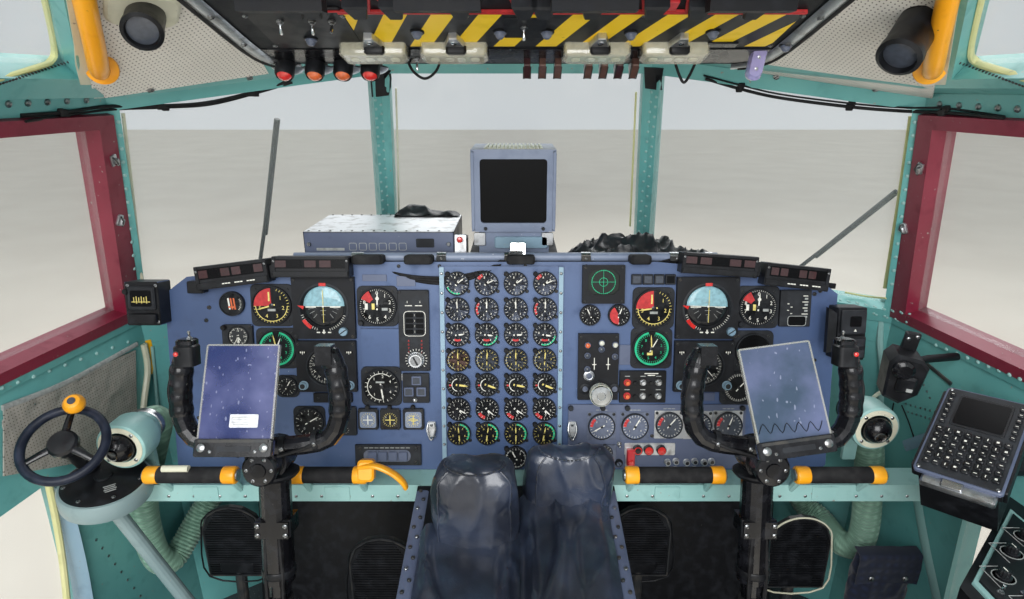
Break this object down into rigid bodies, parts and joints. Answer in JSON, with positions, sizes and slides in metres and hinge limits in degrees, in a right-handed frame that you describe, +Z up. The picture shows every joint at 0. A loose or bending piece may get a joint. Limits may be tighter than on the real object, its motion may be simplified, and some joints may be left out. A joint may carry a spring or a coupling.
{
  "type": "flight deck of a military transport plane",
  "caption": "Forward flight deck of a military transport plane: windshield cab, instrument panel, control columns, pedals, pedestal and overhead panel.",
  "frame": {"origin": "on the underside of the floor, on the centreline, below the control columns' feet", "axes": "+X to the right across the deck, +Y forward to the nose, +Z up"},
  "size_m": [2.17, 1.47, 1.9454],
  "materials": {
    "floor": "worn matt",
    "green_paint": "satin blue-green primer",
    "skin": "semi-matt grey",
    "seal": "satin maroon",
    "glass": "clear, faint green",
    "panel_blue": "semi-matt slate blue",
    "black_parts": "matt black",
    "instrument": "black with white marks",
    "black_metal": "crackle black",
    "radio": "brushed",
    "yoke_grip": "black, moulded grips",
    "acrylic": "clear blue sheet",
    "pedal_metal": "black ribbed",
    "leather": "blue-black, creased",
    "hose": "pale green cloth-covered",
    "pouch": "dark blue cloth",
    "yellow": "glossy orange-yellow"
  },
  "bodies": {
    "deck": {"deck_floor": "floor", "hull_wall_left": "green_paint", "hull_wall_right": "green_paint", "nose_wall": "green_paint", "windshield_frame": "green_paint", "roof_shell": "skin", "window_seal_left": "seal", "window_seal_right": "seal", "glass_side_left": "glass", "glass_side_right": "glass", "glass_front_left": "glass", "glass_front_right": "glass", "glass_centre": "glass", "glass_foot_left": "glass", "glass_foot_right": "glass", "glass_corner_left": "glass", "glass_corner_right": "glass", "glass_brow_left": "glass", "glass_brow_right": "glass", "instrument_panel": "panel_blue", "attitude_indicator_left": "instrument", "attitude_indicator_right": "instrument", "heading_indicator_left": "instrument", "heading_indicator_right": "instrument", "engine_panel": "panel_blue", "lower_subpanel": "panel_blue", "radar_scope": "instrument", "gear_lever_panel": "instrument", "footrest_beam": "green_paint", "coaming": "black_metal", "radio_box": "radio", "display_unit": "panel_blue", "pedal_frame_left": "black_metal", "pedal_frame_right": "black_metal", "pedestal": "black_metal", "throttle_cover": "leather", "flap_cover": "leather", "steering_stand": "green_paint", "air_outlet_left": "hose", "air_outlet_right": "hose", "side_console": "black_metal", "keypad_unit": "panel_blue", "map_lamp": "black_parts", "stowage_pouch": "pouch", "overhead_panel": "black_metal", "grab_handle_left": "yellow", "grab_handle_right": "yellow", "wiper_left": "black_parts", "wiper_right": "black_parts"},
    "column_left": {"column_left": "black_metal"},
    "yoke_left": {"yoke_left": "yoke_grip", "chart_board_left": "acrylic"},
    "column_right": {"column_right": "black_metal"},
    "yoke_right": {"yoke_right": "yoke_grip", "chart_board_right": "acrylic"},
    "pedal_left_outboard": {"pedal_left_outboard": "pedal_metal"},
    "pedal_left_inboard": {"pedal_left_inboard": "pedal_metal"},
    "pedal_right_inboard": {"pedal_right_inboard": "pedal_metal"},
    "pedal_right_outboard": {"pedal_right_outboard": "pedal_metal"},
    "steering_wheel": {"steering_wheel": "black_parts"}
  },
  "joints": [
    {"name": "column_left_pitch", "type": "hinge", "parent": "deck", "child": "column_left", "pos_m": [-0.456, -0.062, 0.135], "axis": [1, 0, 0], "range_deg": [0, 20]},
    {"name": "column_right_pitch", "type": "hinge", "parent": "deck", "child": "column_right", "pos_m": [0.456, -0.062, 0.135], "axis": [1, 0, 0], "range_deg": [0, 20]},
    {"name": "yoke_left_roll", "type": "hinge", "parent": "column_left", "child": "yoke_left", "pos_m": [-0.456, 0.0955, 0.9091], "axis": [0, 0.9799, -0.1994], "range_deg": [-45, 45]},
    {"name": "yoke_right_roll", "type": "hinge", "parent": "column_right", "child": "yoke_right", "pos_m": [0.456, 0.0955, 0.9091], "axis": [0, 0.9799, -0.1994], "range_deg": [-45, 45]},
    {"name": "rudder_left_outboard", "type": "hinge", "parent": "deck", "child": "pedal_left_outboard", "pos_m": [-0.72, 0.4, 0.17], "axis": [1, 0, 0], "range_deg": [-6, 20]},
    {"name": "rudder_left_inboard", "type": "hinge", "parent": "deck", "child": "pedal_left_inboard", "pos_m": [-0.317, 0.4, 0.17], "axis": [1, 0, 0], "range_deg": [-20, 6]},
    {"name": "rudder_right_inboard", "type": "hinge", "parent": "deck", "child": "pedal_right_inboard", "pos_m": [0.317, 0.4, 0.17], "axis": [1, 0, 0], "range_deg": [-6, 20]},
    {"name": "rudder_right_outboard", "type": "hinge", "parent": "deck", "child": "pedal_right_outboard", "pos_m": [0.703, 0.4, 0.17], "axis": [1, 0, 0], "range_deg": [-20, 6]},
    {"name": "nose_steering_turn", "type": "hinge", "parent": "deck", "child": "steering_wheel", "pos_m": [-0.85, 0.122, 0.927], "axis": [0.2003, -0.6208, 0.758], "range_deg": [-135, 135]}
  ],
  "couplings": [
    {"joint": "column_right_pitch", "follows": "column_left_pitch", "ratio": 1},
    {"joint": "yoke_right_roll", "follows": "yoke_left_roll", "ratio": 1},
    {"joint": "rudder_left_inboard", "follows": "rudder_left_outboard", "ratio": -1},
    {"joint": "rudder_right_inboard", "follows": "rudder_left_outboard", "ratio": 1},
    {"joint": "rudder_right_outboard", "follows": "rudder_left_outboard", "ratio": -1}
  ]
}
